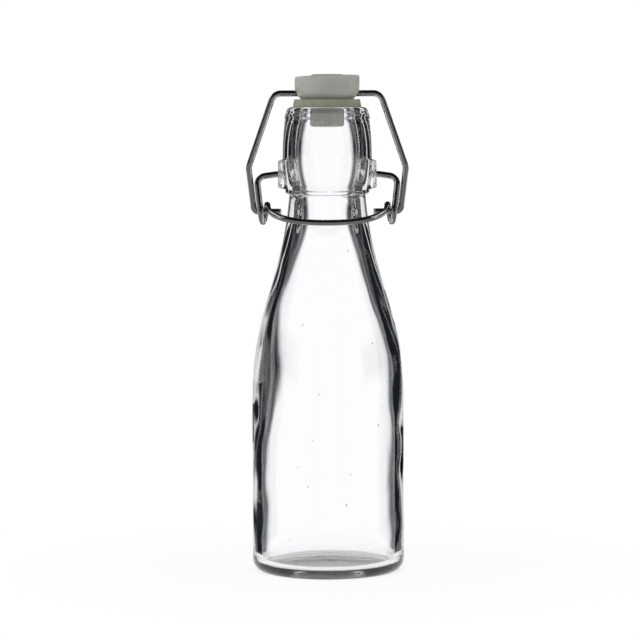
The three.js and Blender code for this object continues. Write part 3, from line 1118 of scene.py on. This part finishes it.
STRIP_FOOT = 0.36
STRIP_TOP = 0.66
CARD_FADE = 7
FLOOR_HALF = 4
FLOOR_DROP = 0.00015
GREY_FLOOR_Z = 0.0012
GREY_FLOOR_START = 0.02


def studio():
    signs = ((-1, -1), (1, -1), (1, 1), (-1, 1))
    corners = [(FLOOR_HALF * x, FLOOR_HALF * y, -FLOOR_DROP) for x, y in signs]
    stage_mesh("floor", corners, [(0, 1, 2, 3)], white_paper())
    for_both = studio_card("dark_card", ["Diffuse Depth"])
    for_views = studio_card("view_card", ["Diffuse Depth", "Glossy Depth"])
    for_mirrors = studio_card("mirror_card", ["Diffuse Depth"], mirrored=True)
    for_metal = studio_card("metal_card", ["Diffuse Depth", "Transmission Depth", "Is Singular Ray"])
    far, near = GLASS_RADIUS, METAL_RADIUS
    for i, (span, foot, top) in enumerate(LEVEL_CARDS):
        card(f"level_card_{i}", span, (far, foot), (far, top), DARK, for_both)
    for i, (span, foot, top) in enumerate(VIEW_CARDS):
        card(f"view_card_{i}", span, (far, foot), (far, top), DARK, for_views, soft=True)
    for i, (span, foot, top, soft) in enumerate(MIRROR_CARDS):
        card(f"mirror_card_{i}", span, (far, foot), (far, top), DARK, for_mirrors, soft)
    card("dark_ceiling", (0, 360), (0, GLASS_TOP), (far, GLASS_TOP), DARK, for_both)
    card("grey_wall", GREY_SPAN, (near, 0), (near, GREY_TOP), GREY, for_metal)
    card("metal_front", GREY_SPAN, (near, GREY_TOP), (near, METAL_TOP), DARK, for_metal)
    card("metal_back", BACK_SPAN, (near, BACK_FOOT), (near, METAL_TOP), DARK, for_metal)
    card("metal_ceiling", (0, 360), (0, METAL_TOP), (near, METAL_TOP), DARK, for_metal)
    for i, span in enumerate(STRIP_SPANS):
        low, high = (STRIP_RADIUS, STRIP_FOOT), (STRIP_RADIUS, STRIP_TOP)
        card(f"strip_light_{i}", span, low, high, WHITE, for_metal)
    card("grey_floor", (0, 360), (GREY_FLOOR_START, GREY_FLOOR_Z), (near, GREY_FLOOR_Z), GREY, for_metal)

    world = bpy.data.worlds.new("studio")
    bpy.context.scene.world = world
    world.use_nodes = True
    tree = world.node_tree
    tree.nodes.clear()
    dim = add(tree, "ShaderNodeBackground", {"Color": linear(WHITE), "Strength": 0.62})
    white = add(tree, "ShaderNodeBackground", {"Color": linear(WHITE), "Strength": 1})
    mixed = add(
        tree,
        "ShaderNodeMixShader",
        links={0: shown_rays(tree), 1: dim.outputs["Background"], 2: white.outputs["Background"]},
    )
    add(tree, "ShaderNodeOutputWorld", links={"Surface": mixed.outputs["Shader"]})


def lamp(name, place, aim, size, watts):
    light = bpy.data.lights.new(name, "AREA")
    light.size = size
    light.energy = watts
    made = bpy.data.objects.new(name, light)
    made.location = place
    made.rotation_euler = (Vector(aim) - Vector(place)).to_track_quat("-Z", "Y").to_euler()
    made.visible_glossy = False
    made.visible_transmission = False
    bpy.context.scene.collection.objects.link(made)


# Camera: in front of the bottle at the height of its stopper, looking a little down through a long lens
CAMERA_DISTANCE = 1.15
CAMERA_HEIGHT = 0.181
AIM = Vector((-0.0029, 0, 0.0944))
FRAME_WIDTH_AT_AXIS = 0.2398
CAMERA_ROLL = math.radians(-0.18)


def photographs():
    place = Vector((AIM.x, -CAMERA_DISTANCE, CAMERA_HEIGHT))
    camera = bpy.data.cameras.new("camera")
    camera.lens = camera.sensor_width * (AIM - place).length / FRAME_WIDTH_AT_AXIS
    made = bpy.data.objects.new("camera", camera)
    made.location = place
    roll = Matrix.Rotation(CAMERA_ROLL, 3, "Z").to_quaternion()
    made.rotation_euler = ((AIM - place).to_track_quat("-Z", "Y") @ roll).to_euler()
    bpy.context.scene.collection.objects.link(made)
    bpy.context.scene.camera = made


steel = drawn_steel()
PIECES = (
    (bottle_glass(soda_lime_glass()), "bottle", "glass_bottle", "clear_glass"),
    (wire("lever_loop", lever_half(), steel), "lever", "lever_wire", "bright_wire"),
    (wire("bail_arch", bail_half(), steel), "bail", "bail_wire", "bright_wire"),
    (stopper_moulding(milky_polyethylene()), "stopper", "stopper", "milky_plastic"),
    (washer_ring(silicone_rubber()), "stopper", "sealing_washer", "pale_rubber"),
)
for piece, body, node, slot in PIECES:
    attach(piece, body)
    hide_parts(node)

photographs()
studio()
lamp("key", (-1, -0.35, 0.75), (0, 0, 0.1), 0.5, 5)
lamp("fill", (1, -0.35, 0.6), (0, 0, 0.1), 0.5, 2.5)
bpy.context.scene.view_settings.view_transform = "Standard"
